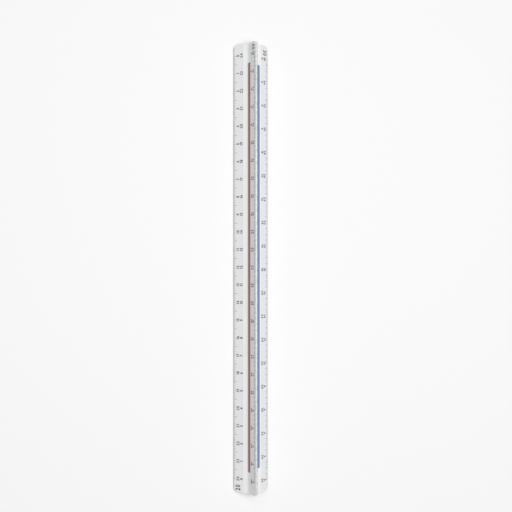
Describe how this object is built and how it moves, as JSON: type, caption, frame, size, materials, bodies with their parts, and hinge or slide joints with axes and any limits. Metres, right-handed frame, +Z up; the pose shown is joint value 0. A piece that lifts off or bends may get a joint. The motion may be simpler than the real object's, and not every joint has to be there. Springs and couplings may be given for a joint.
{
  "type": "triangular scale ruler",
  "caption": "Solid three-bladed drafting scale with a painted stripe in each flute and printed graduations along every blade edge.",
  "frame": {"origin": "middle of the bar's length, centred under the ridge, in the plane it rests on", "axes": "+X along the bar in the direction the upright numerals of the front blade run, +Z up to the ridge, front (20 and 40 scales) towards -Y"},
  "size_m": [0.323, 0.0252, 0.0218],
  "materials": {
    "body_plastic": "satin white",
    "stripe_red": "matt paint",
    "stripe_blue": "matt paint",
    "stripe_green": "matt paint",
    "ink": "matt printing ink"
  },
  "bodies": {
    "root": {"ruler_body": "body_plastic", "stripe_red": "stripe_red", "stripe_blue": "stripe_blue", "stripe_green": "stripe_green", "scale_10_ink": "ink", "scale_20_ink": "ink", "scale_30_ink": "ink", "scale_40_ink": "ink", "scale_50_ink": "ink", "scale_60_ink": "ink"}
  },
  "joints": []
}
